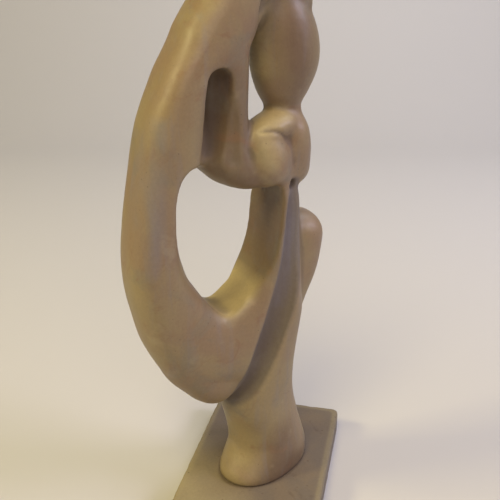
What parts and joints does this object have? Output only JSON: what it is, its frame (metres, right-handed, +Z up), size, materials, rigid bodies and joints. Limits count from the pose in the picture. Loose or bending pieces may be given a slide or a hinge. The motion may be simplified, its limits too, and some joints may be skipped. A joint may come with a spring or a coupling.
{
  "type": "soapstone figure sculpture",
  "caption": "Abstract soapstone carving of a woman: long hair swept from the head into a wide loop, a bent arm, and a stem-like foot on a flat rectangular plinth.",
  "frame": {"origin": "middle of the plinth's underside", "axes": "+Z up; X lies in the figure's broad plane, from the hair loop (-X) to the seat (+X); Y runs through its thickness, the carved front facing -Y"},
  "size_m": [0.1373, 0.1294, 0.2896],
  "materials": {
    "soapstone": "smooth, softly polished, mottled warm brown",
    "plinth_stone": "smooth matt, darker grey-brown"
  },
  "bodies": {
    "root": {"woman_figure": "soapstone", "plinth": "plinth_stone"}
  },
  "joints": []
}
